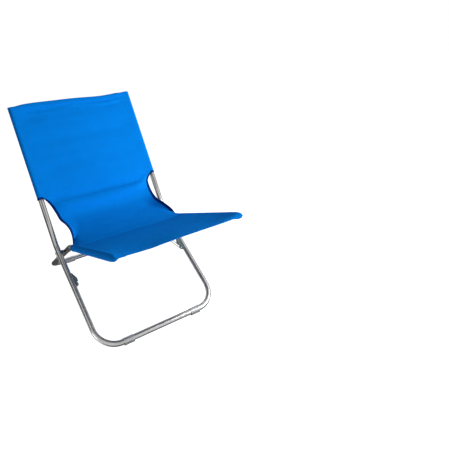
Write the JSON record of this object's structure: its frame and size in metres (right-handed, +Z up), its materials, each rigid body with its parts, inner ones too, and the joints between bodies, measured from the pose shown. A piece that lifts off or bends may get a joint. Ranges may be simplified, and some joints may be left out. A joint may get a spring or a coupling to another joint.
{
  "type": "folding camp chair",
  "caption": "Low folding camp chair: two crossed bent-tube frames on side pivots, a cloth sling for back and seat, and wire links that lock the legs.",
  "frame": {"origin": "bottom centre of the chair's box, on the ground", "axes": "+X to the chair's left seen by the sitter, -Y to the front of the seat, +Z up"},
  "size_m": [0.5298, 0.8497, 0.7602],
  "materials": {
    "frame_steel": "bright plated steel tube, slightly clouded",
    "hardware_zinc": "zinc-plated wire, rivets and washers",
    "grey_plastic": "moulded grey plastic plugs and feet",
    "dark_plastic": "moulded dark grey plastic catches and spacers",
    "sling_cloth": "vivid blue coated woven cloth with navy bound edges"
  },
  "bodies": {
    "main_frame": {"main_frame_tube": "frame_steel", "back_cap_left": "grey_plastic", "back_cap_right": "grey_plastic", "front_foot_left": "grey_plastic", "front_foot_right": "grey_plastic", "pivot_rivet_left": "hardware_zinc", "pivot_rivet_right": "hardware_zinc", "pivot_spacer_left": "dark_plastic", "pivot_spacer_right": "dark_plastic", "pivot_washer_left": "hardware_zinc", "pivot_washer_right": "hardware_zinc", "link_catch_left": "dark_plastic", "link_catch_right": "dark_plastic", "sling_back": "sling_cloth"},
    "seat_frame": {"seat_frame_tube": "frame_steel", "rail_cap_left": "grey_plastic", "rail_cap_right": "grey_plastic", "rear_foot_left": "grey_plastic", "rear_foot_right": "grey_plastic", "link_rivet_left": "hardware_zinc", "link_rivet_right": "hardware_zinc", "seat_cross_rod": "frame_steel", "sling_seat": "sling_cloth", "sling_lap": "sling_cloth"},
    "link_left": {"link_wire_left": "hardware_zinc"},
    "link_right": {"link_wire_right": "hardware_zinc"}
  },
  "joints": [
    {"name": "fold", "type": "hinge", "parent": "main_frame", "child": "seat_frame", "pos_m": [0, 0.08012, 0.24905], "axis": [-1, 0, 0], "range_deg": [0, 93]},
    {"name": "link_left_swing", "type": "hinge", "parent": "seat_frame", "child": "link_left", "pos_m": [-0.2333, 0.20003, 0.16401], "axis": [1, 0, 0], "range_deg": [0, 46.5]},
    {"name": "link_right_swing", "type": "hinge", "parent": "seat_frame", "child": "link_right", "pos_m": [0.2333, 0.20003, 0.16401], "axis": [1, 0, 0], "range_deg": [0, 46.5]}
  ],
  "couplings": [
    {"joint": "link_left_swing", "follows": "fold", "ratio": 0.5},
    {"joint": "link_right_swing", "follows": "fold", "ratio": 0.5}
  ]
}
